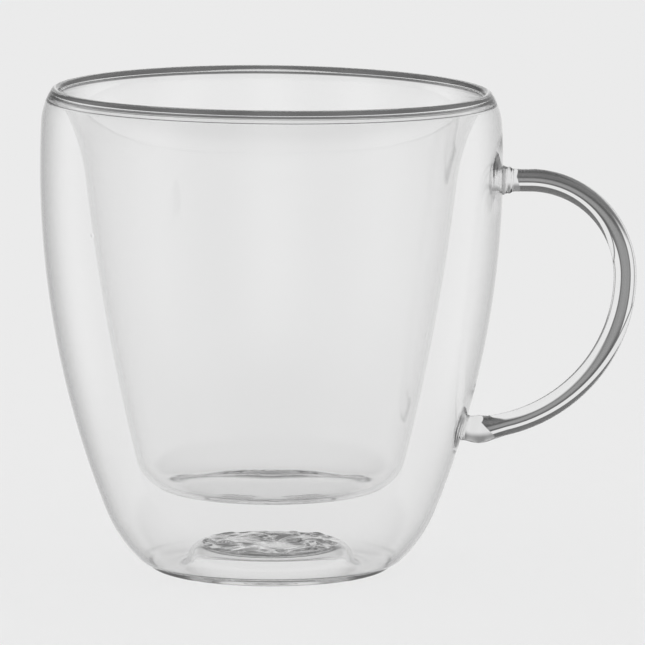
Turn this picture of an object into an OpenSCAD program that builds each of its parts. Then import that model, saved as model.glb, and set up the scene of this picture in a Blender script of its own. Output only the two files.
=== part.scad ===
// Double walled glass cup with a glass rod handle.
// Two blown walls hang from one fused lip, with an air gap between them. The base is pushed up inside
// its foot ring and closed by a glass button. A bent rod is welded to the outer wall at two places.
// The cup stands on the plane z = 0 with its axis on z, and the handle points along +x.

/* [Outer wall] */
// Widest diameter of the outer wall
body_d = 93; // [80:1:110]
// Diameter of the foot where the wall meets the table
foot_d = 40.5; // [36:0.5:48]
// Height from the table to the top of the lip
cup_h = 98; // [92:0.5:115]
// Thickness of the outer wall
wall = 1.3; // [1:0.1:1.8]
// Radius of the long upright curve of the wall
belly_r = 188; // [160:1:260]
// Radius of the curve that turns the wall in towards the foot
heel_r = 29; // [24:1:36]
// Radius of the small curve where the wall meets the table
foot_r = 9.2; // [7:0.1:11]
// Angle of the wall, from level, where the foot curve ends
foot_angle = 44.5; // [40:0.5:50]

/* [Base] */
// Width of the flat ring that the cup stands on
rest_w = 2.4; // [1.5:0.1:4]
// Height of the pushed-up base above the table
push_h = 5; // [4:0.1:5.5]
// Width of the slope from the foot ring up to the pushed-up base
push_w = 6; // [5.5:0.1:8]
// Rise of the seal's middle above the wall round it
seal_rise = 0.6; // [0.3:0.1:1.2]

/* [Lip] */
// Radius of the shoulder that turns the wall in below the lip
shoulder_r = 13; // [9:0.5:18]
// Angle of the wall, from upright, where the shoulder gives way to the lip
shoulder_angle = 33; // [26:1:40]
// Radius of the rounded lip
lip_r = 0.9; // [0.8:0.1:1.2]
// Depth from the top of the lip to where both walls leave it
lip_depth = 2.7; // [2.5:0.1:3.4]
// Angle of the liner at the lip, from upright
lip_angle = 31; // [24:1:38]

/* [Liner] */
// Thickness of the liner
liner_t = 1.2; // [1:0.1:1.6]
// Radius of the flare below the lip, on the drink side
flare_r = 46; // [36:1:56]
// Angle of the liner where the flare ends, from upright
flare_angle = 6.5; // [4:0.5:8]
// Radius of the curve between the liner's side and floor, on the drink side
corner_r = 7.5; // [5:0.1:9]
// Height of the rim of the liner's floor above the table, on the drink side
floor_z = 17.3; // [16:0.1:24]
// Distance from the outer wall in to the rim of the liner's floor, on the drink side
floor_inset = 14.5; // [12:0.1:17]
// Angle of the dished floor at its rim, from level
floor_angle = 2; // [1:0.5:5]

/* [Handle] */
// Diameter of the glass rod
rod_d = 4.6; // [4:0.1:6]
// Clear width between the wall's widest line and the rod
finger_w = 22.4; // [20:0.1:28]
// Distance from the top of the lip down to the middle of the rod's straight start
handle_drop = 18.7; // [12:0.1:22]
// Radius of the rod's upper bend, to its middle
upper_bend_r = 19.3; // [16:0.1:21]
// Distance from the top of the lip down to the middle of the lower weld on the wall
weld_drop = 68.9; // [64:0.1:72]
// Distance from the wall out to the rod's lower end
end_stand = 6.1; // [5:0.1:8]
// Rise from the middle of the lower weld to the rod's lower end
end_rise = 0.25; // [0:0.05:1.5]

/* [Handle welds] */
// Diameter of the upper collar at the wall
collar_d = 5.6; // [5:0.1:7]
// Diameter of the upper collar where it is widest
collar_max_d = 6.1; // [5.4:0.1:7.4]
// Distance from the wall to where the upper collar is widest
collar_stand = 1.4; // [0.8:0.1:2.2]
// Distance from there to the end of the upper collar
collar_taper = 1; // [0.6:0.1:1.8]
// Diameter of the lower weld at the wall
neck_d = 5; // [4.4:0.1:5.6]
// Diameter of the lower weld's drop
drop_d = 5.7; // [5.2:0.1:7]
// Diameter of the taper where it leaves the drop for the rod
taper_d = 5.5; // [5.1:0.1:6.5]
// Distance from the wall to the middle of the drop
drop_stand = 3.1; // [2.6:0.1:4]
// Thickness of the glass that the drop wraps round the rod
wrap_t = 0.2; // [0.1:0.05:0.4]
// Length of the rod's lower end that the drop wraps
wrap_len = 2.6; // [2:0.1:5]

/* [Hidden] */
$fn = 96;

// Number of steps on one arc of a wall's section
arc_steps = 12;
// Overrun of every cut
over = 1;

body_r = body_d / 2;
rod_r = rod_d / 2;
foot_x = foot_d / 2;
rest_x = foot_x - rest_w;
// Angle of the wall, from level, where the heel curve gives way to the belly and the widths add up
heel_angle = asin((belly_r - (heel_r - foot_r) * sin(foot_angle) - body_r + foot_x) / (belly_r - heel_r));
heel_top_z = foot_r * (1 - cos(foot_angle)) + heel_r * (cos(foot_angle) - cos(heel_angle));
// Height of the widest line of the wall, and the centres of the belly curve and the heel curve
widest_z = heel_top_z + belly_r * cos(heel_angle);
belly_centre = [body_r - belly_r, widest_z];
heel_centre = belly_centre + (belly_r - heel_r) * [sin(heel_angle), -cos(heel_angle)];
// The wall's outward direction at a height on the heel or the belly, and its point there
function on_heel(z) = z < heel_top_z;
function wall_dip(z) = on_heel(z) ? asin((heel_centre.y - z) / heel_r) : asin((widest_z - z) / belly_r);
function wall_out(z) = [cos(wall_dip(z)), -sin(wall_dip(z))];
function wall_point(z) =
    on_heel(z) ? heel_centre + heel_r * wall_out(z) : belly_centre + belly_r * wall_out(z);
// The pushed-up base: flat over the vent, then two equal curves down to the foot ring
vent_r = rest_x - push_w;
push_angle = 2 * atan(push_h / push_w);
push_r = push_w / (2 * sin(push_angle));

// Centres of the shoulder and the lip, so that each curve runs on from the one before it, and the level at
// which both walls leave the lip
lip_z = cup_h - lip_r;
shoulder_z = lip_z - (shoulder_r - lip_r) * sin(shoulder_angle);
shoulder_rise = asin((shoulder_z - widest_z) / (belly_r - shoulder_r));
shoulder_x = belly_centre.x + (belly_r - shoulder_r) * cos(shoulder_rise);
lip_x = shoulder_x + (shoulder_r - lip_r) * cos(shoulder_angle);
seam_z = cup_h - lip_depth;
shoulder_start = 90 + shoulder_rise;
wall_end = 90 + asin((seam_z - shoulder_z) / shoulder_r);
lip_start = 90 + shoulder_angle;
lip_inside = [lip_x - lip_r * cos(lip_angle), lip_z + lip_r * sin(lip_angle)];
seam_angle = asin(sin(lip_angle) - (lip_inside.y - seam_z) / flare_r);

// The liner's side is the one curve that leads from the flare to the corner at the floor's rim
floor_x = wall_point(floor_z).x - wall - floor_inset;
floor_r = floor_x / sin(floor_angle);
flare_end = lip_inside - flare_r * [cos(flare_angle) - cos(lip_angle), sin(lip_angle) - sin(flare_angle)];
side_in = flare_end.x - corner_r * (cos(flare_angle) - sin(floor_angle)) - floor_x;
side_fall = flare_end.y - corner_r * (cos(floor_angle) - sin(flare_angle)) - floor_z;
side_angle = 2 * atan(side_in / side_fall) - flare_angle;
side_r = corner_r + side_fall / (sin(side_angle) - sin(flare_angle));

// The handle's bends turn about two centres on the level where the rod reaches out most
reach = body_r + finger_w + rod_r;
upper_rod_z = cup_h - handle_drop;
reach_z = upper_rod_z - upper_bend_r;
// The upper collar leaves the wall at the level of the rod's straight start
collar_point = wall_point(upper_rod_z);
collar_widest = [collar_point.x + collar_stand, upper_rod_z];
rod_start = [collar_widest.x + collar_taper, upper_rod_z];
// The lower weld leaves the wall square to it
weld_z = cup_h - weld_drop;
weld_out = wall_out(weld_z);
weld_point = wall_point(weld_z);
drop_point = weld_point + drop_stand * weld_out;
// The lower bend is the one curve that leads from the rod's farthest point to its lower end
bend_in = reach - weld_point.x - end_stand;
bend_fall = reach_z - weld_z - end_rise;
lower_bend_r = (bend_in * bend_in + bend_fall * bend_fall) / (2 * bend_in);
lower_bend_angle = atan2(bend_fall, lower_bend_r - bend_in);
wrap_angle = lower_bend_angle - wrap_len / lower_bend_r * 180 / PI;
wrap_point = [reach - lower_bend_r * (1 - cos(wrap_angle)), reach_z - lower_bend_r * sin(wrap_angle)];

// One arc of a section as [x, z, heading] steps: it leaves start at the heading from and ends at the
// heading to. The radius is negative where the heading falls.
function arc(start, from, to, radius) =
    [for (i = [0 : arc_steps])
        let (h = from + (to - from) * i / arc_steps)
        [start[0] + radius * (sin(h) - sin(from)), start[1] + radius * (cos(from) - cos(h)), h]];

// Heading of a liner step on its way down, at an angle from upright
function sinking(angle) = 270 - angle;
function last(steps) = steps[len(steps) - 1];
function rest_of(steps) = [for (i = [1 : len(steps) - 1]) steps[i]];
function turned(points) = [for (i = [len(points) - 1 : -1 : 0]) points[i]];

// The face that a section's steps draw, and the face at a thickness to the left of it
function face(steps) = [for (s = steps) [s[0], s[1]]];
function face_at(steps, t) = [for (s = steps) [max(s[0] - t * sin(s[2]), 0), s[1] + t * cos(s[2])]];
function band(steps, t) = concat(face(steps), turned(face_at(steps, t)));

// Underside of the base from the vent down to the foot ring
push_steps = arc([vent_r, push_h], 0, -push_angle, -push_r);
ring_steps = arc(last(push_steps), -push_angle, 0, push_r);

// Outside of the wall from the foot ring to the seam, and on to the lip
foot_steps = arc([foot_x, 0], 0, foot_angle, foot_r);
heel_steps = arc(last(foot_steps), foot_angle, heel_angle, heel_r);
belly_steps = arc(last(heel_steps), heel_angle, shoulder_start, belly_r);
shoulder_steps = arc(last(belly_steps), shoulder_start, wall_end, shoulder_r);
brow_steps = arc(last(shoulder_steps), wall_end, lip_start, shoulder_r);
upright_steps = concat(foot_steps, rest_of(heel_steps), rest_of(belly_steps), rest_of(shoulder_steps));
wall_steps = concat(push_steps, rest_of(ring_steps), upright_steps);

// Drink side of the liner from the lip to the seam, and on to the middle of the floor
lip_steps = arc(last(brow_steps), lip_start, sinking(lip_angle), lip_r);
throat_steps = arc(last(lip_steps), sinking(lip_angle), sinking(seam_angle), flare_r);
flare_steps = arc(last(throat_steps), sinking(seam_angle), sinking(flare_angle), flare_r);
side_steps = arc(last(flare_steps), sinking(flare_angle), sinking(side_angle), -side_r);
corner_steps = arc(last(side_steps), sinking(side_angle), 180 + floor_angle, -corner_r);
floor_steps = arc(last(corner_steps), 180 + floor_angle, 180, -floor_r);
liner_steps = concat(flare_steps, rest_of(side_steps), rest_of(corner_steps), rest_of(floor_steps));

// The rounded top of the air gap, from the outer wall to the liner
gap_start = last(face_at(shoulder_steps, wall));
gap_end = face_at(flare_steps, liner_t)[0];
gap_mid = (gap_start + gap_end) / 2;
gap_r = norm(gap_start - gap_end) / 2;
gap_tilt = atan2(gap_start.y - gap_end.y, gap_start.x - gap_end.x);
gap_arch = [for (i = [0 : arc_steps])
    let (a = gap_tilt + 180 * i / arc_steps)
    gap_mid + gap_r * [cos(a), sin(a)]];

// Top of the seal: an arc from the edge of the vent to the middle
seal_top_r = (vent_r * vent_r + seal_rise * seal_rise) / (2 * seal_rise);
seal_half = asin(vent_r / seal_top_r);
seal_top = face(arc([0, push_h + wall + seal_rise], 0, -seal_half, -seal_top_r));

// The blown outer wall, with its foot ring and the pushed-up base round the vent
module outer_bowl() {
    color("lightcyan")
        rotate_extrude()
            polygon(band(wall_steps, wall));
}

// The blown liner that holds the drink
module inner_bowl() {
    color("azure")
        rotate_extrude()
            polygon(band(liner_steps, liner_t));
}

// The fused lip, from the outer wall's end over the top to the liner's end
module rim_bead() {
    outside = concat(face(brow_steps), face(rest_of(lip_steps)), face(rest_of(throat_steps)));
    color("paleturquoise")
        rotate_extrude()
            polygon(concat(outside, turned(gap_arch)));
}

// The button that closes the vent, flush below and proud above
module base_seal() {
    color("powderblue")
        rotate_extrude()
            polygon(concat([[0, push_h], [vent_r, push_h]], turned(seal_top)));
}

// The space that the outer wall takes up, from its outer face to the axis
module wall_envelope() {
    rotate_extrude()
        polygon(concat([[0, 0]], face(upright_steps), [[0, seam_z]]));
}

// A bend of the rod, up or down from where it reaches out most
module bend(radius, angle) {
    translate([-radius, 0, 0])
        rotate([90, 0, 0])
            rotate_extrude(angle = angle)
                translate([radius, 0])
                    circle(rod_r);
}

// A round bar in the plane of the handle, from one point to another
module bar(from, to, r1, r2) {
    run = to - from;
    translate([from.x, 0, from.y])
        rotate([0, 90 - atan2(run.y, run.x), 0])
            cylinder(h = norm(run), r1 = r1, r2 = r2);
}

// The bent rod: a straight start, the upper bend and the lower bend
module handle_rod() {
    color("lightblue")
        translate([reach, 0, reach_z]) {
            bar([-upper_bend_r, upper_bend_r], [rod_start.x - reach, upper_bend_r], rod_r, rod_r);
            bend(upper_bend_r, 90);
            bend(lower_bend_r, -lower_bend_angle);
        }
}

// The collar that joins the rod's upper end to the wall
module handle_upper_weld() {
    inward = [collar_point.x - over, upper_rod_z];
    color("lightskyblue")
        difference() {
            union() {
                bar(inward, collar_widest, collar_d / 2, collar_max_d / 2);
                bar(collar_widest, rod_start, collar_max_d / 2, rod_r);
            }
            wall_envelope();
        }
}

// The drop that joins the rod's lower end to the wall
module handle_lower_weld() {
    inward = weld_point - over * weld_out;
    color("lightskyblue")
        difference() {
            union() {
                bar(inward, drop_point, neck_d / 2, neck_d / 2);
                translate([drop_point.x, 0, drop_point.y])
                    sphere(drop_d / 2);
                bar(drop_point, wrap_point, taper_d / 2, rod_r + wrap_t);
            }
            wall_envelope();
            handle_rod();
        }
}

outer_bowl();
inner_bowl();
rim_bead();
base_seal();
handle_rod();
handle_upper_weld();
handle_lower_weld();
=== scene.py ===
import logging
from dataclasses import dataclass, field
from enum import Enum

import bpy
import numpy as np
from mathutils import Matrix


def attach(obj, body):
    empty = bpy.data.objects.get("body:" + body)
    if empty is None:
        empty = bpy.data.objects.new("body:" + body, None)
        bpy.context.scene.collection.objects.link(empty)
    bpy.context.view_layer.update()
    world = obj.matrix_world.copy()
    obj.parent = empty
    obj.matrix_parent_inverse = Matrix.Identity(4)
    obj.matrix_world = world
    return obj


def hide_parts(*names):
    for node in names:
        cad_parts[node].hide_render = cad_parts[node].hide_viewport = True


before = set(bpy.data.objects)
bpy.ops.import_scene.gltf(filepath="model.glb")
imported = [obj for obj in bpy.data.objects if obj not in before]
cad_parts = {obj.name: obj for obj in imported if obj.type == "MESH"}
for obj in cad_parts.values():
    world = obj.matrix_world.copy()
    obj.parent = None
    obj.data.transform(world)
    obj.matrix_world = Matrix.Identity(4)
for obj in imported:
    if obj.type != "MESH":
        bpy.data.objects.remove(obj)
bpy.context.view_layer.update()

Array = np.ndarray
LOG = logging.getLogger("glass_cup")
MM = 0.001


class Slot(Enum):
    """The record's material slots."""

    WALL = "wall_glass"
    ROD = "rod_glass"


def sin(angle: float) -> float:
    """Give the sine of an angle in degrees."""
    return np.sin(np.radians(angle))


def cos(angle: float) -> float:
    """Give the cosine of an angle in degrees."""
    return np.cos(np.radians(angle))


@dataclass(frozen=True)
class Track:
    """A section drawn as steps in the plane of the radius and the height.

    Each step has a radius, a height and a heading in degrees, where a heading of 0 points out and 90 points
    up. Sizes are in millimetres, and the glass lies to the left of the heading.
    """

    x: Array
    z: Array
    heading: Array

    @staticmethod
    def arc(start: tuple[float, float], begin: float, end: float, radius: float, count: int) -> "Track":
        """Draw one arc: each step is the start plus the radius times the turned heading.

        Args:
            start: Radius and height of the first step.
            begin: Heading of the first step.
            end: Heading of the last step.
            radius: Radius of the arc, negative where the heading falls.
            count: Number of spans.

        Returns:
            The arc's steps.
        """
        heading = np.linspace(begin, end, count + 1)
        h, b = np.radians(heading), np.radians(begin)
        return Track(start[0] + radius * (np.sin(h) - np.sin(b)), start[1] + radius * (np.cos(b) - np.cos(h)),
                     heading)

    @staticmethod
    def level(begin: float, end: float, z: float, count: int) -> "Track":
        """Draw a level line outwards, with its steps at even distances.

        Args:
            begin: Radius of the first step.
            end: Radius of the last step.
            z: Height.
            count: Number of spans.

        Returns:
            The line's steps.
        """
        return Track(np.linspace(begin, end, count + 1), np.full(count + 1, z), np.zeros(count + 1))

    @property
    def end(self) -> tuple[float, float]:
        """Radius and height of the last step."""
        return float(self.x[-1]), float(self.z[-1])

    def on(self, end: float, radius: float, count: int) -> "Track":
        """Draw the next arc from this track's end, with no kink.

        Args:
            end: Heading of the arc's last step.
            radius: Radius of the arc, negative where the heading falls.
            count: Number of spans.

        Returns:
            The new arc alone.
        """
        return Track.arc(self.end, float(self.heading[-1]), end, radius, count)

    @staticmethod
    def joined(tracks: list["Track"]) -> "Track":
        """Join tracks end to end, with each shared step kept once.

        Args:
            tracks: The tracks in order.

        Returns:
            One track.
        """
        parts = [tracks[0]] + [Track(t.x[1:], t.z[1:], t.heading[1:]) for t in tracks[1:]]
        return Track(np.concatenate([t.x for t in parts]), np.concatenate([t.z for t in parts]),
                     np.concatenate([t.heading for t in parts]))

    def face(self, depth: Array | float = 0.0) -> tuple[Array, Array]:
        """Give the face at a depth to the left of the steps.

        Args:
            depth: Depth, one for all, one for each step, or one for each step and turn.

        Returns:
            Radii and heights.
        """
        h = np.radians(self.heading)
        if np.ndim(depth) == 2:
            h = h[:, None]
            return self.x[:, None] - depth * np.sin(h), self.z[:, None] + depth * np.cos(h)
        return np.maximum(self.x - depth * np.sin(h), 0.0), self.z + depth * np.cos(h)


@dataclass(frozen=True)
class Skin:
    """A closed skin as a grid of rings: points of shape (rings, turns, 3) in millimetres."""

    points: Array
    closed: bool
    fused: tuple[int, ...] = ()

    def mesh(self, name: str) -> bpy.types.Mesh:
        """Make the mesh, with quads between rings and fans at the two poles of an open skin.

        Ring i and ring i + 1 are joined by one row of faces, and the row's number is i. Rows that are listed
        as fused get the second material, and their edges are sharp.

        Args:
            name: Name of the mesh.

        Returns:
            The mesh.
        """
        rings, turns, _ = self.points.shape
        grid = np.arange(rings * turns).reshape(rings, turns)
        upper = np.roll(grid, -1, axis=0) if self.closed else grid[1:]
        lower = grid if self.closed else grid[:-1]
        quads = np.stack([lower, np.roll(lower, -1, 1), np.roll(upper, -1, 1), upper], axis=-1)
        rows = quads.shape[0]
        points = self.points.reshape(-1, 3)
        first, last = (0, rows) if self.closed else (1, rows - 1)
        blocks = [quads[first:last].reshape(-1, 4)]
        row_of = np.repeat(np.arange(first, last), turns)
        if not self.closed:
            bottom = np.stack([np.zeros(turns, int), quads[0][:, 2], quads[0][:, 3]], axis=-1)
            top = np.stack([quads[-1][:, 0], quads[-1][:, 1], np.full(turns, rings * turns - 1)], axis=-1)
            row_of = np.concatenate([row_of, np.zeros(turns, int), np.full(turns, rows - 1)])
            keep = np.ones(rings * turns, bool)
            keep[1:turns] = False
            keep[(rings - 1) * turns:-1] = False
            number = np.cumsum(keep) - 1
            points = points[keep]
            blocks = [number[block] for block in (blocks[0], bottom, top)]
        fused = np.isin(row_of, self.fused)
        mesh = bpy.data.meshes.new(name)
        mesh.from_pydata((points * MM).tolist(), [], sum((block.tolist() for block in blocks), []))
        mesh.polygons.foreach_set("use_smooth", np.ones(len(fused), bool))
        mesh.polygons.foreach_set("material_index", fused.astype(np.int32))
        self._crease(mesh, fused)
        mesh.validate()
        mesh.update()
        return mesh

    @staticmethod
    def _crease(mesh: bpy.types.Mesh, fused: Array) -> None:
        """Mark the edges between glass faces and fused faces as sharp.

        Args:
            mesh: The mesh.
            fused: Whether each face is fused.
        """
        if not fused.any():
            return
        edge_of = np.empty(len(mesh.loops), np.int32)
        mesh.loops.foreach_get("edge_index", edge_of)
        count = np.empty(len(mesh.polygons), np.int32)
        mesh.polygons.foreach_get("loop_total", count)
        loop_fused = np.repeat(fused, count)
        touched = np.zeros((2, len(mesh.edges)), bool)
        touched[0, edge_of[loop_fused]] = True
        touched[1, edge_of[~loop_fused]] = True
        sharp = mesh.attributes.new("sharp_edge", "BOOLEAN", "EDGE")
        sharp.data.foreach_set("value", touched.all(axis=0))


def lathe(x: Array, z: Array, turns: int, closed: bool, fused: tuple[int, ...] = ()) -> Skin:
    """Turn a section about the upright axis: each ring holds one section point at every angle.

    Args:
        x: Radii, one for each point, or one for each point and turn.
        z: Heights, of the same shape.
        turns: Number of turns.
        closed: Whether the section closes on itself. Otherwise it starts and ends on the axis.
        fused: Rows of faces that are fused to the next piece.

    Returns:
        The skin.
    """
    angle = turn_angles(turns)
    radius = np.broadcast_to(x[:, None] if x.ndim == 1 else x, (len(x), turns))
    height = np.broadcast_to(z[:, None] if z.ndim == 1 else z, (len(z), turns))
    return Skin(np.stack([radius * np.cos(angle), radius * np.sin(angle), height], axis=-1), closed, fused)


def turn_angles(turns: int) -> Array:
    """Give evenly spaced angles of one full turn, from the handle's side."""
    return np.arange(turns) * 2.0 * np.pi / turns


@dataclass(frozen=True)
class Strand:
    """A round strand of glass along a path in the handle's plane. Sizes are in millimetres.

    The path has a point of x and z in each row, and the radius has one value for each of them.
    """

    path: Array
    radius: Array

    @property
    def along(self) -> Array:
        """Length of the path up to each of its points."""
        return np.concatenate([[0.0], np.cumsum(np.linalg.norm(np.diff(self.path, axis=0), axis=1))])

    def skin(self, begin: Array, end: Array, rings: int, fused: tuple[int, ...]) -> Skin:
        """Cut a length out of the strand, with a closed end at both cuts.

        At every angle the rings lie at even shares of the way from the one cut to the other. A ring's point
        is the path's point there, plus the radius times the turned pair of the path's normal and the normal
        of the handle's plane.

        Args:
            begin: Length along the strand of the first cut, one for each angle.
            end: Length along the strand of the last cut, one for each angle.
            rings: Number of rings.
            fused: Rows of faces that are fused to the next piece, counted with the end rows.

        Returns:
            The skin.
        """
        angle = turn_angles(len(begin))
        at = begin + (end - begin) * np.linspace(0.0, 1.0, rings)[:, None]
        slope = np.gradient(self.path, axis=0)
        heading = np.unwrap(np.arctan2(slope[:, 1], slope[:, 0]))
        x, z, turn, radius = (np.interp(at, self.along, values)
                              for values in (self.path[:, 0], self.path[:, 1], heading, self.radius))
        out = radius * np.cos(angle)
        points = np.stack([x - out * np.sin(turn), -radius * np.sin(angle), z + out * np.cos(turn)], axis=-1)
        caps = [np.broadcast_to(ring.mean(axis=0), (1,) + ring.shape) for ring in (points[0], points[-1])]
        return Skin(np.concatenate([caps[0], points, caps[1]]), False, fused)


def bump(distance: Array, width: float) -> Array:
    """Give a smooth bump: one at the middle, falling as the exponent of minus the square of the distance."""
    return np.exp(-(distance / width) ** 2)


def step(value: Array, low: float, high: float) -> Array:
    """Give a smooth step from 0 at low to 1 at high."""
    t = np.clip((value - low) / (high - low), 0.0, 1.0)
    return t * t * (3.0 - 2.0 * t)


class Op(Enum):
    """The sums that the node graphs use."""

    ADD = "ADD"
    SUBTRACT = "SUBTRACT"
    MULTIPLY = "MULTIPLY"
    MODULO = "FLOORED_MODULO"
    COMPARE = "COMPARE"
    ABOVE = "GREATER_THAN"
    BELOW = "LESS_THAN"
    FOLD = "PINGPONG"
    WRAP = "WRAP"
    ANGLE = "ARCTAN2"
    ARCSINE = "ARCSINE"
    DEGREES = "DEGREES"
    MAXIMUM = "MAXIMUM"


Value = bpy.types.NodeSocket | float


class Graph:
    """A node tree with short calls for the nodes that the finishes and the surround use."""

    def __init__(self, tree: bpy.types.NodeTree) -> None:
        """Take the tree to work on.

        Args:
            tree: The node tree.
        """
        self.tree = tree

    def add(self, kind: str) -> bpy.types.Node:
        """Add a node.

        Args:
            kind: Type name of the node.

        Returns:
            The node.
        """
        return self.tree.nodes.new(kind)

    def feed(self, value: Value, socket: bpy.types.NodeSocket) -> None:
        """Link a socket to an input, or write a number on it.

        Args:
            value: The socket or number.
            socket: The input.
        """
        if isinstance(value, bpy.types.NodeSocket):
            self.tree.links.new(value, socket)
        else:
            socket.default_value = value

    def sum(self, operation: Op, *values: Value) -> bpy.types.NodeSocket:
        """Add a sum.

        Args:
            operation: What the sum does.
            values: Its inputs in order.

        Returns:
            The result.
        """
        node = self.add("ShaderNodeMath")
        node.operation = operation.value
        for socket, value in zip(node.inputs, values):
            self.feed(value, socket)
        return node.outputs[0]

    def rise(self, value: Value, low: float, high: float) -> bpy.types.NodeSocket:
        """Add a smooth step from 0 at low to 1 at high.

        Args:
            value: What is measured.
            low: Where the step begins.
            high: Where it ends.

        Returns:
            The share.
        """
        node = self.add("ShaderNodeMapRange")
        node.interpolation_type = "SMOOTHSTEP"
        for name, number in (("Value", value), ("From Min", low), ("From Max", high)):
            self.feed(number, node.inputs[name])
        return node.outputs["Result"]

    def between(self, value: Value, low: float, high: float, soft: float) -> bpy.types.NodeSocket:
        """Add a soft window that is 1 between two limits.

        Args:
            value: What is measured.
            low: Lower limit.
            high: Upper limit.
            soft: Width of the soft edges.

        Returns:
            The share.
        """
        up = self.rise(value, low - soft, low + soft)
        return self.sum(Op.SUBTRACT, up, self.rise(value, high - soft, high + soft))

    def blend(self, share: Value, low: Value, high: Value) -> bpy.types.NodeSocket:
        """Mix two levels: low where the share is 0 and high where it is 1.

        Args:
            share: The share.
            low: First level.
            high: Second level.

        Returns:
            The mixed level.
        """
        node = self.add("ShaderNodeMix")
        for value, socket in zip((share, low, high), (node.inputs[0], node.inputs[2], node.inputs[3])):
            self.feed(value, socket)
        return node.outputs[0]


class WorkedGlass:
    """The shared effect of hand-worked glass, as a node group: faint cords, small seeds and a fine haze."""

    group: bpy.types.NodeTree | None = None
    stretch: tuple[float, float, float] = (1.0, 1.0, 0.3)
    seed_edge: tuple[float, float] = (0.045, 0.02)
    seed_height: float = 0.6
    haze_scale: float = 60.0
    haze_least: float = 0.5

    @classmethod
    def tree(cls) -> bpy.types.NodeTree:
        """Give the group, which is built once.

        The height adds long upright cords, from noise that is stretched along the height, to round seeds,
        which are the nearest parts of scattered cells. The roughness is the haze times a slow noise.

        Returns:
            The group.
        """
        if cls.group is not None:
            return cls.group
        tree = bpy.data.node_groups.new("worked_glass", "ShaderNodeTree")
        for name, way in (("Cord Scale", "INPUT"), ("Seed Scale", "INPUT"), ("Haze", "INPUT"),
                          ("Height", "OUTPUT"), ("Roughness", "OUTPUT")):
            tree.interface.new_socket(name=name, in_out=way, socket_type="NodeSocketFloat")
        graph = Graph(tree)
        given, out = graph.add("NodeGroupInput"), graph.add("NodeGroupOutput")
        where = graph.add("ShaderNodeTexCoord").outputs["Object"]
        squash = graph.add("ShaderNodeVectorMath")
        squash.operation = "MULTIPLY"
        squash.inputs[1].default_value = cls.stretch
        graph.feed(where, squash.inputs[0])
        cords = graph.add("ShaderNodeTexNoise")
        graph.feed(squash.outputs[0], cords.inputs["Vector"])
        graph.feed(given.outputs["Cord Scale"], cords.inputs["Scale"])
        cords.inputs["Detail"].default_value = 1.0
        cells = graph.add("ShaderNodeTexVoronoi")
        graph.feed(where, cells.inputs["Vector"])
        graph.feed(given.outputs["Seed Scale"], cells.inputs["Scale"])
        seeds = graph.rise(cells.outputs["Distance"], *cls.seed_edge)
        raised = graph.sum(Op.MULTIPLY, seeds, cls.seed_height)
        graph.feed(graph.sum(Op.ADD, cords.outputs[0], raised), out.inputs["Height"])
        haze = graph.add("ShaderNodeTexNoise")
        graph.feed(where, haze.inputs["Vector"])
        haze.inputs["Scale"].default_value = cls.haze_scale
        clouded = graph.sum(Op.ADD, haze.outputs[0], cls.haze_least)
        graph.feed(graph.sum(Op.MULTIPLY, given.outputs["Haze"], clouded), out.inputs["Roughness"])
        cls.group = tree
        return tree


@dataclass(frozen=True)
class Glass:
    """A clear glass finish with the faint cords and seeds of worked glass."""

    name: str
    tint: float = 0.985
    ior: float = 1.47
    cord_scale: float = 45.0
    seed_scale: float = 60.0
    cord_height: float = 0.00002
    haze: float = 0.0

    def material(self) -> bpy.types.Material:
        """Build the material: plain clear glass whose normal carries the cords and the seeds.

        Returns:
            The material.
        """
        made = bpy.data.materials.new(self.name)
        made.use_nodes = True
        graph = Graph(made.node_tree)
        shader = made.node_tree.nodes["Principled BSDF"]
        shader.inputs["Base Color"].default_value = (self.tint, self.tint, self.tint, 1.0)
        shader.inputs["Metallic"].default_value = 0.0
        shader.inputs["Roughness"].default_value = 0.0
        shader.inputs["IOR"].default_value = self.ior
        shader.inputs["Transmission Weight"].default_value = 1.0
        worked = graph.add("ShaderNodeGroup")
        worked.node_tree = WorkedGlass.tree()
        worked.inputs["Cord Scale"].default_value = self.cord_scale
        worked.inputs["Seed Scale"].default_value = self.seed_scale
        worked.inputs["Haze"].default_value = self.haze
        relief = graph.add("ShaderNodeBump")
        relief.inputs["Strength"].default_value = 1.0
        relief.inputs["Distance"].default_value = self.cord_height
        graph.feed(worked.outputs["Height"], relief.inputs["Height"])
        graph.feed(relief.outputs["Normal"], shader.inputs["Normal"])
        if self.haze > 0.0:
            graph.feed(worked.outputs["Roughness"], shader.inputs["Roughness"])
        return made


@dataclass(frozen=True)
class FusedFace:
    """The finish of faces inside the glass, where two pieces are melted together and nothing shows."""

    name: str = "fused_joint"

    def material(self) -> bpy.types.Material:
        """Build the material: a clear shader with no effect on light.

        Returns:
            The material.
        """
        made = bpy.data.materials.new(self.name)
        made.use_nodes = True
        shader = made.node_tree.nodes["Principled BSDF"]
        shader.inputs["Base Color"].default_value = (1.0, 1.0, 1.0, 1.0)
        shader.inputs["Roughness"].default_value = 0.0
        shader.inputs["Alpha"].default_value = 0.0
        return made


class Palette:
    """The finishes of the cup, each made once."""

    def __init__(self) -> None:
        """Make the materials."""
        self.wall = Glass("clear_wall_glass").material()
        self.lip = Glass("fire_polished_lip_glass", tint=0.97).material()
        self.rod = Glass("drawn_rod_glass", tint=0.97, cord_scale=90.0, haze=0.03).material()
        self.weld = Glass("clear_weld_glass", tint=0.97, cord_scale=140.0, cord_height=0.00004).material()
        self.fused = FusedFace().material()


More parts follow.
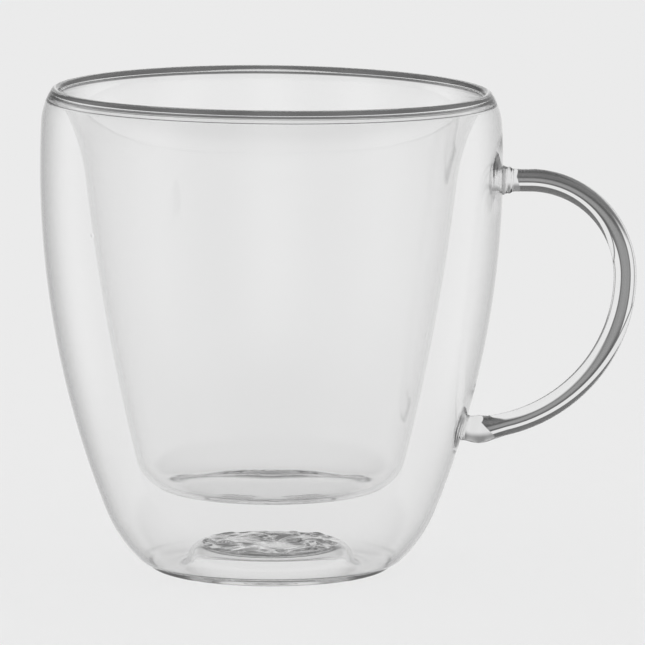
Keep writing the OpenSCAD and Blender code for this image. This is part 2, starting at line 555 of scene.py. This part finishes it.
def place(name: str, skin: Skin, glass: bpy.types.Material, fused: bpy.types.Material, slot: Slot,
          node: str) -> bpy.types.Object:
    """Put a skin into the scene as the piece that stands for a CAD node.

    Args:
        name: Name of the piece.
        skin: Its skin.
        glass: Material of its glass.
        fused: Material of its fused faces.
        slot: Not used.
        node: CAD node that it stands for.

    Returns:
        The new object.
    """
    mesh = skin.mesh(name)
    mesh.materials.append(glass)
    mesh.materials.append(fused)
    piece = bpy.data.objects.new(name, mesh)
    bpy.context.scene.collection.objects.link(piece)
    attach(piece, "root")
    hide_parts(node)
    LOG.info("%s: %d faces", name, len(mesh.polygons))
    return piece


@dataclass(frozen=True)
class Patch:
    """A thicker patch of wall: its height, half of its turn in radians and half of its own height."""

    z: float
    half_turn: float
    half_h: float


@dataclass
class Walls:
    """The two blown walls, the lip that fuses them and the seal in the base. Sizes in millimetres.

    A name that ends in _d is a diameter, in _r a radius, in _h a height, in _w a width and in _t a depth.
    Angles are in degrees, and turns of the dents are in radians.
    """

    body_d: float = 93.0
    foot_d: float = 40.5
    cup_h: float = 98.0
    belly_r: float = 188.0
    heel_r: float = 29.0
    foot_r: float = 9.2
    foot_angle: float = 44.5
    rest_w: float = 1.4
    push_h: float = 4.8
    push_w: float = 5.0
    slope_w: float = 5.8
    groove_t: float = 0.5
    groove_w: float = 0.9
    groove_angle: float = 33.0
    seal_rise: float = 0.05
    shoulder_r: float = 13.0
    shoulder_angle: float = 33.0
    lip_r: float = 0.9
    lip_depth: float = 2.7
    lip_angle: float = 31.0
    flare_r: float = 46.0
    flare_angle: float = 6.5
    corner_r: float = 7.5
    floor_z: float = 17.3
    floor_inset: float = 15.8
    floor_angle: float = 2.0
    sheet_t: float = 0.85
    arch: float = 1.43
    notch_t: float = 0.07
    notch_at: float = 0.88
    notch_w: float = 0.045
    sag: float = 0.84
    sag_shares: tuple[float, float, float] = (0.335, 0.429, 0.238)
    sag_from: float = 78.0
    gather_t: float = 0.17
    patches: tuple[Patch, ...] = (Patch(79.3, 0.5, 9.5), Patch(31.0, 0.36, 7.0))
    upright_from: float = 45.0
    swirl_h: float = 0.3
    lens_at: tuple[float, float] = (0.17, -0.45)
    ripple_h: float = 1.0
    ripple_r: float = 19.6
    ripple_bay: float = 4.6
    ripple_w: float = 1.2
    dent_h: float = 0.3
    dent_r: float = 18.0
    dent_w: float = 1.3
    dents: tuple[tuple[float, float], ...] = ((4.33, 0.2), (5.15, 0.25))
    ripple_top: tuple[float, float] = (20.0, 24.0)
    turns: int = 288

    def __post_init__(self) -> None:
        """Work out the sections from the sizes, as arcs that meet without a kink."""
        body_r, foot_x = self.body_d / 2, self.foot_d / 2
        rest_x = foot_x - self.rest_w
        # Heel and belly
        rise = self.belly_r - (self.heel_r - self.foot_r) * sin(self.foot_angle) - body_r + foot_x
        heel_angle = np.degrees(np.arcsin(rise / (self.belly_r - self.heel_r)))
        heel_top = (self.foot_r * (1 - cos(self.foot_angle))
                    + self.heel_r * (cos(self.foot_angle) - cos(heel_angle)))
        self.widest_z = heel_top + self.belly_r * cos(heel_angle)
        # Pushed-up base
        vent_r = rest_x - self.push_w
        push_angle = np.degrees(2 * np.arctan(self.push_h / self.slope_w))
        push_r = self.slope_w / (2 * sin(push_angle))
        crown_x = rest_x - self.slope_w
        vent_angle = np.degrees(np.arcsin((vent_r - crown_x) / push_r))
        # Shoulder and lip
        lip_z = self.cup_h - self.lip_r
        drop_in = self.shoulder_r - self.lip_r
        shoulder_z = lip_z - drop_in * sin(self.shoulder_angle)
        bend = self.belly_r - self.shoulder_r
        shoulder_rise = np.degrees(np.arcsin((shoulder_z - self.widest_z) / bend))
        shoulder_x = body_r - self.belly_r + bend * cos(shoulder_rise)
        lip_x = shoulder_x + drop_in * cos(self.shoulder_angle)
        seam_z = self.cup_h - self.lip_depth
        wall_end = 90 + np.degrees(np.arcsin((seam_z - shoulder_z) / self.shoulder_r))
        # Liner
        inside = np.array([lip_x - self.lip_r * cos(self.lip_angle),
                           lip_z + self.lip_r * sin(self.lip_angle)])
        seam_angle = np.degrees(np.arcsin(sin(self.lip_angle) - (inside[1] - seam_z) / self.flare_r))
        floor_x = self.wall_x(self.floor_z) - self.floor_inset
        flare_end = inside - self.flare_r * np.array([cos(self.flare_angle) - cos(self.lip_angle),
                                                      sin(self.lip_angle) - sin(self.flare_angle)])
        side_in = flare_end[0] - self.corner_r * (cos(self.flare_angle) - sin(self.floor_angle)) - floor_x
        side_fall = (flare_end[1] - self.corner_r * (cos(self.floor_angle) - sin(self.flare_angle))
                     - self.floor_z)
        side_angle = np.degrees(2 * np.arctan(side_in / side_fall)) - self.flare_angle
        side_r = self.corner_r + side_fall / (sin(side_angle) - sin(self.flare_angle))
        # Tracks of the seal and the outer wall
        crown = Track.level(0.0, crown_x, self.push_h, 60)
        self.crown = Track.joined([crown, crown.on(-vent_angle, -push_r, 36)])
        push = self.crown.on(-push_angle, -push_r, 16)
        ring = push.on(0.0, push_r, 16)
        bridge = Track.level(ring.end[0], foot_x, 0.0, 4)
        foot = Track.arc((foot_x, 0.0), 0.0, self.foot_angle, self.foot_r, 16)
        heel = foot.on(heel_angle, self.heel_r, 24)
        belly = heel.on(90 + shoulder_rise, self.belly_r, 56)
        shoulder = belly.on(wall_end, self.shoulder_r, 12)
        self.shell = Track.joined([push, ring, bridge, foot, heel, belly, shoulder])
        # Tracks of the lip and the liner
        brow = shoulder.on(90 + self.shoulder_angle, self.shoulder_r, 6)
        bead = brow.on(270 - self.lip_angle, self.lip_r, 40)
        throat = bead.on(270 - seam_angle, self.flare_r, 6)
        self.lip = Track.joined([brow, bead, throat])
        flare = throat.on(270 - self.flare_angle, self.flare_r, 24)
        side = flare.on(270 - side_angle, -side_r, 40)
        corner = side.on(180 + self.floor_angle, -self.corner_r, 28)
        floor = corner.on(180.0, -floor_x / sin(self.floor_angle), 24)
        self.liner = Track.joined([flare, side, corner, floor])

    def wall_x(self, z: float) -> float:
        """Give the radius of the outer wall's belly at a height."""
        dip = np.arcsin((self.widest_z - z) / self.belly_r)
        return float(self.body_d / 2 - self.belly_r * (1 - np.cos(dip)))

    def front(self) -> Array:
        """Give the share of the front at each turn: half less half the sine, so 1 in front and 0 behind."""
        return 0.5 - 0.5 * np.sin(turn_angles(self.turns))

    def weld_depth(self) -> Array:
        """Work out the extra thickness of the outer wall round the two welds.

        Each patch is level inside an ellipse of the turn and the height, and falls off smoothly at its edge.

        Returns:
            The extra thickness, for each step and turn.
        """
        angle = turn_angles(self.turns)
        off = np.minimum(angle, 2.0 * np.pi - angle)
        depth = np.zeros((len(self.shell.z), self.turns))
        for patch in self.patches:
            away = np.hypot(off / patch.half_turn, (self.shell.z[:, None] - patch.z) / patch.half_h)
            depth += self.gather_t * (1.0 - step(away, 0.5, 1.0))
        return depth * (self.shell.heading > self.upright_from)[:, None]

    def groove(self) -> Array:
        """Give the depth of the groove round the foot: a bump along the foot's curve, deepest in front."""
        along = np.radians(self.shell.heading - self.groove_angle) * self.foot_r
        return self.groove_t * bump(along, self.groove_w)[:, None] * self.front()

    def leaning(self, z: Array) -> Array:
        """Give heights the hand-made lean of the rim.

        The rim sinks by a steady part, the cosine of the turn and the cosine of twice the turn, so that it is
        lowest on the handle's side. The shares leave its highest places at their full height, and the lean
        fades out below the shoulder.

        Args:
            z: Heights, one for each point, or one for each point and turn.

        Returns:
            The new heights, for each point and turn.
        """
        angle = turn_angles(self.turns)
        steady, once, twice = self.sag_shares
        sink = self.sag * (steady + once * np.cos(angle) + twice * np.cos(2.0 * angle))
        z = z if z.ndim == 2 else z[:, None]
        return z - sink * step(z, self.sag_from, self.cup_h)

    def outer_skin(self) -> Skin:
        """Shape the outer bowl: out and up the outside, and back down the inside.

        Returns:
            The skin.
        """
        out_x, out_z = self.shell.face(self.groove())
        in_x, in_z = self.shell.face(self.sheet_t + self.weld_depth())
        n = len(out_x)
        x = np.concatenate([out_x, in_x[::-1]])
        z = np.concatenate([out_z, in_z[::-1]])
        return lathe(x, self.leaning(z), self.turns, True, (n - 1, 2 * n - 1))

    def liner_skin(self) -> Skin:
        """Shape the liner: up the side that faces the air gap, and down the drink side.

        The drink side of the floor carries a ripple at the back: a ring whose height is a bump over the
        radius, and whose radius draws in by a bump of the turn and sways with seven times the turn. Two dents
        in front are bumps over the radius and the turn.

        Returns:
            The skin.
        """
        drink_x, drink_z = self.liner.face()
        gap_x, gap_z = self.liner.face(self.sheet_t)
        drink_x[-1] = gap_x[-1] = 0.0
        n = len(drink_x)
        angle = turn_angles(self.turns)
        behind = angle - np.pi / 2
        low = step(-drink_z, -self.ripple_top[1], -self.ripple_top[0])[:, None]
        ring = self.ripple_r - self.ripple_bay * bump(behind, 0.85) + 0.5 * np.sin(7 * angle)
        crest = bump(drink_x[:, None] - ring, self.ripple_w) * (0.6 + 0.5 * bump(behind, 0.5))
        height = self.ripple_h * low * step(np.sin(angle), -0.05, 0.4) * crest
        pressed = sum(bump(angle - middle, width) for middle, width in self.dents)
        height = height + self.dent_h * low * bump(drink_x - self.dent_r, self.dent_w)[:, None] * pressed
        rows = np.broadcast_to(drink_z[:, None] + height, (n, self.turns)).copy()
        rows[-1] = rows[-1].mean()
        x = np.broadcast_to(np.concatenate([gap_x[::-1], drink_x])[:, None], (2 * n, self.turns))
        z = np.concatenate([np.broadcast_to(gap_z[::-1, None], (n, self.turns)), rows])
        return lathe(x, self.leaning(z), self.turns, False, (n - 1,))

    def lip_skin(self) -> Skin:
        """Shape the lip: over the top from the outer wall to the liner, and back under the arch.

        The arch runs straight from the one inner edge to the other, and is lifted by one less the power 1.5
        of the distance from its middle. A fine notch near the outer wall is a bump across it, deepest in
        front.

        Returns:
            The skin.
        """
        top_x, top_z = self.lip.face()
        wall_end = np.array([v[-1] for v in self.shell.face(self.sheet_t)])
        liner_end = np.array([v[0] for v in self.liner.face(self.sheet_t)])
        middle, half = (wall_end + liner_end) / 2, (wall_end - liner_end) / 2
        spans = 64
        across = np.cos(np.linspace(np.pi, 0.0, spans + 1))
        lift = self.arch * np.array([-half[1], half[0]])
        arch = middle + across[:, None] * half + (1.0 - np.abs(across) ** 1.5)[:, None] * lift
        notch = self.notch_t * bump(across - self.notch_at, self.notch_w)[:, None] * self.front()
        n = len(top_x)
        x = np.concatenate([np.broadcast_to(top_x[:, None], (n, self.turns)), arch[:, :1] + notch])
        z = self.leaning(np.concatenate([top_z, arch[:, 1]]))
        return lathe(x, z, self.turns, True, (n - 1, n + spans))

    def seal_skin(self) -> Skin:
        """Shape the seal: out along its underside, up its edge and back over its crowned top.

        The top carries the swirl of the melted glass: two waves across the seal, whose phases are bent by
        slower waves, times a third wave that makes them patchy. Their height fades at the middle, at the edge
        and in one smooth drop beside the middle.

        Returns:
            The skin.
        """
        share = self.crown.x / self.crown.x[-1]
        under_x, under_z = self.crown.face()
        angle = turn_angles(self.turns)
        u, v = share[:, None] * np.cos(angle), share[:, None] * np.sin(angle)
        wave = np.sin(13.0 * u + 2.6 * np.sin(6.0 * v + 1.0) + 1.8 * np.sin(8.0 * u - 5.0 * v))
        wave += 0.8 * np.sin(16.0 * v + 2.4 * np.sin(7.0 * u + 0.5))
        wave *= np.clip(0.75 + 0.6 * np.sin(4.0 * u + 1.5 * np.sin(5.0 * v)), 0.25, 1.0)
        lens = bump(np.hypot(u - self.lens_at[0], (v - self.lens_at[1]) / 0.9), 0.3)
        fade = (step(share, 0.0, 0.1) * step(1.0 - share, 0.0, 0.06))[:, None]
        fade = fade * (1.0 - np.clip(1.6 * lens, 0.0, 1.0))
        crowned = self.sheet_t + (self.seal_rise * (1.0 - share ** 2))[:, None]
        top_x, top_z = self.crown.face(crowned + self.swirl_h * fade * wave)
        top_x[0] = 0.0
        n = len(share)
        x = np.concatenate([np.broadcast_to(under_x[:, None], top_x.shape), top_x[::-1]])
        z = np.concatenate([np.broadcast_to(under_z[:, None], top_z.shape), top_z[::-1]])
        return lathe(x, z, self.turns, False, (n - 1,))

    def build(self, palette: Palette) -> None:
        """Place the walls, the lip and the seal.

        Args:
            palette: The finishes.
        """
        place("outer_bowl_glass", self.outer_skin(), palette.wall, palette.fused, Slot.WALL, "outer_bowl")
        place("inner_bowl_glass", self.liner_skin(), palette.wall, palette.fused, Slot.WALL, "inner_bowl")
        place("rim_bead_glass", self.lip_skin(), palette.lip, palette.fused, Slot.WALL, "rim_bead")
        place("base_seal_glass", self.seal_skin(), palette.wall, palette.fused, Slot.WALL, "base_seal")


@dataclass
class Handle:
    """The bent rod and the two welds that hold it. Sizes in millimetres."""

    walls: Walls
    rod_d: float = 4.6
    finger_w: float = 22.4
    handle_drop: float = 18.7
    upper_bend_r: float = 19.3
    weld_drop: float = 68.9
    end_stand: float = 6.1
    end_rise: float = 0.25
    collar_d: float = 5.6
    collar_stand: float = 1.4
    collar_taper: float = 1.0
    ring_t: float = 0.2
    ring_w: float = 0.35
    neck_d: float = 5.0
    drop_d: float = 5.7
    drop_stand: float = 3.1
    drop_w: float = 1.6
    drop_len: float = 8.6
    flare_t: float = 0.25
    upper_flare_w: float = 0.6
    lower_flare_w: float = 0.7
    wrap_len: float = 2.6
    nest: float = 0.3
    core_start: float = 2.8
    core_bow: float = 2.0
    core_end: float = 3.4
    tip_bow: float = 6.0
    turns: int = 96
    rod_rings: int = 180
    upper_rings: int = 48
    lower_rings: int = 72

    def __post_init__(self) -> None:
        """Work out the rod's path from the sizes."""
        walls = self.walls
        self.reach = walls.body_d / 2 + self.finger_w + self.rod_d / 2
        self.upper_z = walls.cup_h - self.handle_drop
        self.reach_z = self.upper_z - self.upper_bend_r
        self.collar_x = walls.wall_x(self.upper_z)
        self.weld_z = walls.cup_h - self.weld_drop
        dip = np.arcsin((walls.widest_z - self.weld_z) / walls.belly_r)
        self.weld_out = np.array([np.cos(dip), -np.sin(dip)])
        self.weld_point = np.array([walls.wall_x(self.weld_z), self.weld_z])
        run = self.reach - self.weld_point[0] - self.end_stand
        fall = self.reach_z - self.weld_z - self.end_rise
        self.lower_r = (run ** 2 + fall ** 2) / (2 * run)
        self.lower_angle = np.arctan2(fall, self.lower_r - run) - self.wrap_len / self.lower_r

    def path(self) -> Array:
        """Draw the handle from inside the wall at the upper weld to inside the wall at the lower weld.

        A straight start runs into the upper bend and the lower bend. A curve with four guide points leads
        from there to the wall, which it meets at a right angle.

        Returns:
            The path, with a point of x and z in each row.
        """
        start_x, bend_x = self.collar_x - self.nest, self.reach - self.upper_bend_r
        straight = np.stack([np.linspace(start_x, bend_x, 81)[:-1], np.full(80, self.upper_z)], axis=-1)
        a = np.linspace(np.pi / 2, 0.0, 121)
        upper = (np.array([bend_x, self.reach_z])
                 + self.upper_bend_r * np.stack([np.cos(a), np.sin(a)], axis=-1))
        b = np.linspace(0.0, -self.lower_angle, 161)[1:]
        lower = (np.array([self.reach - self.lower_r, self.reach_z])
                 + self.lower_r * np.stack([np.cos(b), np.sin(b)], axis=-1))
        foot = self.weld_point - self.nest * self.weld_out
        lead = 0.4 * float(np.linalg.norm(lower[-1] - foot))
        onward = np.array([np.sin(b[-1]), -np.cos(b[-1])])
        guides = [lower[-1], lower[-1] + lead * onward, foot + lead * self.weld_out, foot]
        t = np.linspace(0.0, 1.0, 81)[1:, None]
        last = ((1 - t) ** 3 * guides[0] + 3 * t * (1 - t) ** 2 * guides[1] + 3 * t ** 2 * (1 - t) * guides[2]
                + t ** 3 * guides[3])
        return np.concatenate([straight, upper, lower, last])

    def strand(self) -> Strand:
        """Shape the whole handle as one strand: an even rod that swells to a ringed collar and a drop.

        The radius is half the rod, plus smooth steps towards the collar and the drop's neck, plus bumps for
        the collar's ring, the drop and the flare of the glass at each end on the wall.

        Returns:
            The strand.
        """
        bare = Strand(self.path(), np.zeros(1))
        out = bare.along - self.nest
        back = bare.along[-1] - self.nest - bare.along
        collar = self.collar_stand + self.collar_taper
        swell = (self.collar_d - self.rod_d) / 2 * step(collar - out, 0.0, collar)
        swell += self.ring_t * bump(out - self.collar_stand, self.ring_w)
        swell += self.flare_t * bump(out + self.nest, self.upper_flare_w)
        swell += (self.neck_d - self.rod_d) / 2 * step(self.drop_len - back, 0.0, 0.5 * self.drop_len)
        swell += (self.drop_d - self.neck_d) / 2 * bump(back - self.drop_stand, self.drop_w)
        swell += self.flare_t * bump(back + self.nest, self.lower_flare_w)
        return Strand(bare.path, self.rod_d / 2 + swell)

    def cuts(self, strand: Strand) -> tuple[Array, Array]:
        """Work out where the rod's glass starts and ends on the strand.

        Both borders are bowed: they lie nearest the wall on the two faces that look across the handle, and
        draw back with the cosine towards its top and its underside.

        Args:
            strand: The whole handle.

        Returns:
            Lengths along the strand of the start and the end, one for each angle.
        """
        bow = np.abs(np.cos(turn_angles(self.turns)))
        first = self.nest + self.core_start + self.core_bow * bow
        return first, strand.along[-1] - self.nest - self.core_end - self.tip_bow * bow

    def build(self, palette: Palette) -> None:
        """Place the rod and its welds.

        Args:
            palette: The finishes.
        """
        strand = self.strand()
        first, last = self.cuts(strand)
        above, below = np.zeros(self.turns), np.full(self.turns, strand.along[-1])
        rod = strand.skin(first, last, self.rod_rings, (0, self.rod_rings))
        upper = strand.skin(above, first, self.upper_rings, (self.upper_rings,))
        lower = strand.skin(last, below, self.lower_rings, (0,))
        place("handle_rod_glass", rod, palette.rod, palette.fused, Slot.ROD, "handle_rod")
        place("handle_upper_weld_glass", upper, palette.weld, palette.fused, Slot.ROD, "handle_upper_weld")
        place("handle_lower_weld_glass", lower, palette.weld, palette.fused, Slot.ROD, "handle_lower_weld")


@dataclass(frozen=True)
class Panels:
    """The pale and dark panels that the glass shows. Levels are shares of white, and angles are in degrees.

    The panels repeat round the cup, at each sixth of a turn for mirrored rays and at each quarter turn for
    the others, so that it looks alike from all sides.
    """

    even: float = 1.0
    clear: float = 0.87
    upward: float = 0.13
    pale: float = 0.83
    dark: float = 0.14
    mirror_pale: float = 0.85
    mirror_dark: float = 0.12
    mirror_side: float = 0.36
    mirror_deep: float = 0.80
    mirror_twice: float = 0.42
    overhead: float = 0.2
    heel: float = 0.12
    underfoot: float = 0.82
    piped: float = 0.14
    piped_from: float = 80.5
    thin_front: float = 0.5
    thin_side: float = 0.78
    drop_level: float = 0.77
    outline_front: float = 0.26
    outline_side: float = 0.52
    core_dark: float = 0.06
    core_grey: float = 0.13
    core_pale: float = 0.27
    rod_side: float = 0.35

    def level(self, graph: Graph) -> bpy.types.NodeSocket:
        """Build the world's level for every kind of ray.

        Rays that lit a matt surface, and rays straight from the camera, meet one even level. Rays that were
        mirrored by the glass meet the mirror level, and rays that only passed through it the clear level.

        Args:
            graph: The world's graph.

        Returns:
            The level.
        """
        path = graph.add("ShaderNodeLightPath").outputs
        split = graph.add("ShaderNodeSeparateXYZ")
        graph.feed(graph.add("ShaderNodeTexCoord").outputs["Generated"], split.inputs[0])
        turn = graph.sum(Op.DEGREES, graph.sum(Op.ANGLE, split.outputs["X"], split.outputs["Y"]))
        climb = graph.sum(Op.DEGREES, graph.sum(Op.ARCSINE, split.outputs["Z"]))
        mirrored = graph.sum(Op.ABOVE, path["Glossy Depth"], 0.5)
        handle_side = graph.sum(Op.ABOVE, split.outputs["X"], 0.0)
        glass = graph.blend(mirrored, self.through(graph, path, turn, climb),
                            self.mirror(graph, path, turn, climb, handle_side))
        seen = graph.sum(Op.MAXIMUM, path["Is Glossy Ray"], path["Is Transmission Ray"])
        lit = graph.sum(Op.BELOW, path["Diffuse Depth"], 0.5)
        return graph.blend(graph.sum(Op.MULTIPLY, seen, lit), self.even, glass)

    def mirror(self, graph: Graph, path: bpy.types.NodeOutputs, turn: Value, climb: Value,
               handle_side: Value) -> bpy.types.NodeSocket:
        """Build the level of mirrored rays: six pale panels round the cup, dark below and above.

        The panels are weaker for rays that were mirrored by inner faces or several times. Rays that run down
        inside a wall for long are set to one dark level.

        Args:
            graph: The world's graph.
            path: Outputs of the light path.
            turn: Angle of the ray round the cup.
            climb: Angle of the ray above the level.
            handle_side: Whether the ray leaves on the handle's side, which is lighter.

        Returns:
            The level.
        """
        passed, bounced = path["Transmission Depth"], path["Glossy Depth"]
        off_panel = graph.rise(graph.sum(Op.FOLD, turn, 30.0), 0.0, 26.0)
        gap = graph.blend(handle_side, self.mirror_dark, self.mirror_side)
        first = graph.blend(off_panel, self.mirror_pale, gap)
        deep = graph.blend(off_panel, self.mirror_pale, self.mirror_deep)
        once = graph.blend(graph.sum(Op.ABOVE, passed, 1.5), first, deep)
        level = graph.blend(graph.between(climb, -22.0, 22.0, 4.0), self.mirror_deep, self.mirror_twice)
        twice = graph.blend(graph.sum(Op.ABOVE, bounced, 1.5), once, level)
        twice = graph.blend(graph.sum(Op.ABOVE, bounced, 3.5), twice, self.mirror_deep)
        inside = graph.blend(graph.rise(climb, -38.0, -55.0), self.underfoot, self.piped)
        below = graph.blend(graph.sum(Op.ABOVE, passed, 1.5), self.heel, inside)
        below = graph.blend(graph.sum(Op.ABOVE, bounced, 1.5), below, self.piped)
        upright = graph.blend(graph.rise(climb, -16.0, -30.0), twice, below)
        upright = graph.blend(graph.sum(Op.ABOVE, bounced, self.piped_from), upright, self.piped)
        inner = graph.sum(Op.ABOVE, passed, 3.5)
        above = graph.sum(Op.MULTIPLY, inner, graph.rise(climb, 14.0, 24.0))
        return graph.blend(above, upright, self.overhead)

    def through(self, graph: Graph, path: bpy.types.NodeOutputs, turn: Value,
                climb: Value) -> bpy.types.NodeSocket:
        """Build the level of rays that only passed through glass.

        Rays through whole walls meet one clear level. Rays that crossed solid glass meet the dark studio
        round the pale panels: a low strip for thin edges, and the strips of the rod for hazy glass.

        Args:
            graph: The world's graph.
            path: Outputs of the light path.
            turn: Angle of the ray round the cup.
            climb: Angle of the ray above the level.

        Returns:
            The level.
        """
        passed = path["Transmission Depth"]
        solid = graph.sum(Op.COMPARE, graph.sum(Op.MODULO, passed, 4.0), 2.0, 0.5)
        thick = graph.blend(path["Is Singular Ray"], self.rod(graph, turn, climb),
                            self.edge(graph, passed, turn, climb))
        whole = graph.blend(graph.rise(climb, 0.0, 5.0), self.clear, self.upward)
        return graph.blend(solid, whole, thick)

    def edge(self, graph: Graph, passed: Value, turn: Value, climb: Value) -> bpy.types.NodeSocket:
        """Build the level seen through thin edges, and through the welds, which fewer faces lie before.

        Args:
            graph: The world's graph.
            passed: How many faces the ray passed.
            turn: Angle of the ray round the cup.
            climb: Angle of the ray above the level.

        Returns:
            The level.
        """
        apart = graph.sum(Op.FOLD, turn, 45.0)
        studio = graph.blend(graph.rise(apart, 7.0, 16.0), self.thin_front, self.thin_side)
        thin = graph.blend(graph.between(climb, -10.0, 2.0, 1.5), studio, self.clear)
        thin = graph.blend(graph.rise(climb, -16.0, -22.0), thin, self.clear)
        outline = graph.blend(graph.rise(apart, 4.0, 34.0), self.outline_front, self.outline_side)
        drop = graph.blend(graph.between(climb, -70.0, 8.0, 10.0), outline, self.drop_level)
        return graph.blend(graph.sum(Op.BELOW, passed, 3.0), thin, drop)

    def rod(self, graph: Graph, turn: Value, climb: Value) -> bpy.types.NodeSocket:
        """Build the strips that the hazy rod shows: a dark core between pale strips, and one strip above.

        Args:
            graph: The world's graph.
            turn: Angle of the ray round the cup.
            climb: Angle of the ray above the level.

        Returns:
            The level.
        """
        side = graph.sum(Op.WRAP, turn, 45.0, -45.0)
        apart = graph.sum(Op.FOLD, turn, 45.0)
        core = graph.blend(graph.between(climb, -34.0, -18.0, 4.0), self.core_dark, self.core_grey)
        core = graph.blend(graph.between(climb, -13.0, -3.0, 3.0), core, self.core_pale)
        low = graph.blend(graph.rise(apart, 12.0, 14.0), core, self.dark)
        low = graph.blend(graph.rise(apart, 16.5, 18.5), low, self.pale)
        left = graph.sum(Op.MULTIPLY, graph.rise(side, -14.0, -17.0), graph.rise(climb, -16.0, -24.0))
        low = graph.blend(left, low, self.dark)
        right = graph.sum(Op.MULTIPLY, graph.rise(side, 4.0, 7.0), graph.rise(climb, -12.0, -18.0))
        low = graph.blend(right, low, self.pale)
        low = graph.blend(graph.rise(side, -34.0, -37.0), low, self.rod_side)
        high = graph.blend(graph.between(climb, 1.5, 12.5, 0.8), self.dark, self.pale)
        return graph.blend(graph.rise(climb, -0.5, 0.5), low, high)


@dataclass
class Studio:
    """The floor, the soft light and the camera. Sizes in metres, and angles in degrees."""

    panels: Panels = field(default_factory=Panels)

    floor_level: float = 0.83
    floor_radius: float = 3.0
    floor_turns: int = 96
    target_z: float = 0.048
    distance: float = 1.5
    rise: float = 7.9
    roll: float = 0.16
    sensor: float = 36.0
    lens: float = 415.7
    shift: tuple[float, float] = (0.0798, 0.0175)
    far: float = 100.0
    bounces: int = 512

    def build_floor(self) -> None:
        """Lay a large round floor with a matt pale finish: one ring of points at even angles."""
        angle = turn_angles(self.floor_turns)
        ring = np.stack([np.cos(angle), np.sin(angle), np.zeros(self.floor_turns)], axis=-1)
        mesh = bpy.data.meshes.new("studio_floor")
        mesh.from_pydata((ring * self.floor_radius).tolist(), [], [list(range(self.floor_turns))])
        finish = bpy.data.materials.new("pale_floor")
        finish.use_nodes = True
        shader = finish.node_tree.nodes["Principled BSDF"]
        shader.inputs["Base Color"].default_value = (self.floor_level,) * 3 + (1.0,)
        shader.inputs["Roughness"].default_value = 1.0
        shader.inputs["Specular IOR Level"].default_value = 0.0
        mesh.materials.append(finish)
        floor = bpy.data.objects.new("studio_floor", mesh)
        floor.visible_glossy = False
        floor.visible_transmission = False
        bpy.context.scene.collection.objects.link(floor)

    def build_light(self) -> None:
        """Light the scene by an even world, and show the glass a studio of pale and dark panels."""
        world = bpy.data.worlds.new("soft_studio")
        world.use_nodes = True
        bpy.context.scene.world = world
        world.node_tree.nodes.clear()
        graph = Graph(world.node_tree)
        output, background = graph.add("ShaderNodeOutputWorld"), graph.add("ShaderNodeBackground")
        graph.feed(background.outputs["Background"], output.inputs["Surface"])
        background.inputs["Color"].default_value = (1.0, 1.0, 1.0, 1.0)
        graph.feed(self.panels.level(graph), background.inputs["Strength"])

    def build_camera(self) -> None:
        """Set the camera at the photograph's place, turned and shifted as the photograph is."""
        data = bpy.data.cameras.new("photo_camera")
        data.sensor_width = self.sensor
        data.lens = self.lens
        data.shift_x, data.shift_y = self.shift
        data.clip_end = self.far
        rise, roll = np.radians(self.rise), np.radians(self.roll)
        right, up = np.array([1.0, 0.0, 0.0]), np.array([0.0, np.sin(rise), np.cos(rise)])
        back = np.array([0.0, -np.cos(rise), np.sin(rise)])
        place_at = np.array([0.0, 0.0, self.target_z]) + self.distance * back
        turned = np.cos(roll) * right + np.sin(roll) * up
        upright = np.cos(roll) * up - np.sin(roll) * right
        matrix = np.eye(4)
        matrix[:3, 0], matrix[:3, 1], matrix[:3, 2], matrix[:3, 3] = turned, upright, back, place_at
        camera = bpy.data.objects.new("photo_camera", data)
        camera.matrix_world = Matrix(matrix.tolist())
        bpy.context.scene.collection.objects.link(camera)
        bpy.context.scene.camera = camera

    def build(self) -> None:
        """Make the studio and set how light is traced through the glass."""
        self.build_camera()
        self.build_floor()
        self.build_light()
        scene = bpy.context.scene
        scene.view_settings.view_transform = "Standard"
        scene.cycles.max_bounces = self.bounces
        scene.cycles.transmission_bounces = self.bounces
        scene.cycles.glossy_bounces = self.bounces
        scene.cycles.transparent_max_bounces = self.bounces
        scene.cycles.blur_glossy = 0.0


def main() -> None:
    """Build the cup and its studio; each piece's face count is logged."""
    logging.basicConfig(level=logging.INFO, format="%(name)s %(message)s")
    Studio().build()
    palette = Palette()
    walls = Walls()
    walls.build(palette)
    Handle(walls).build(palette)


if __name__ == "__main__":
    main()
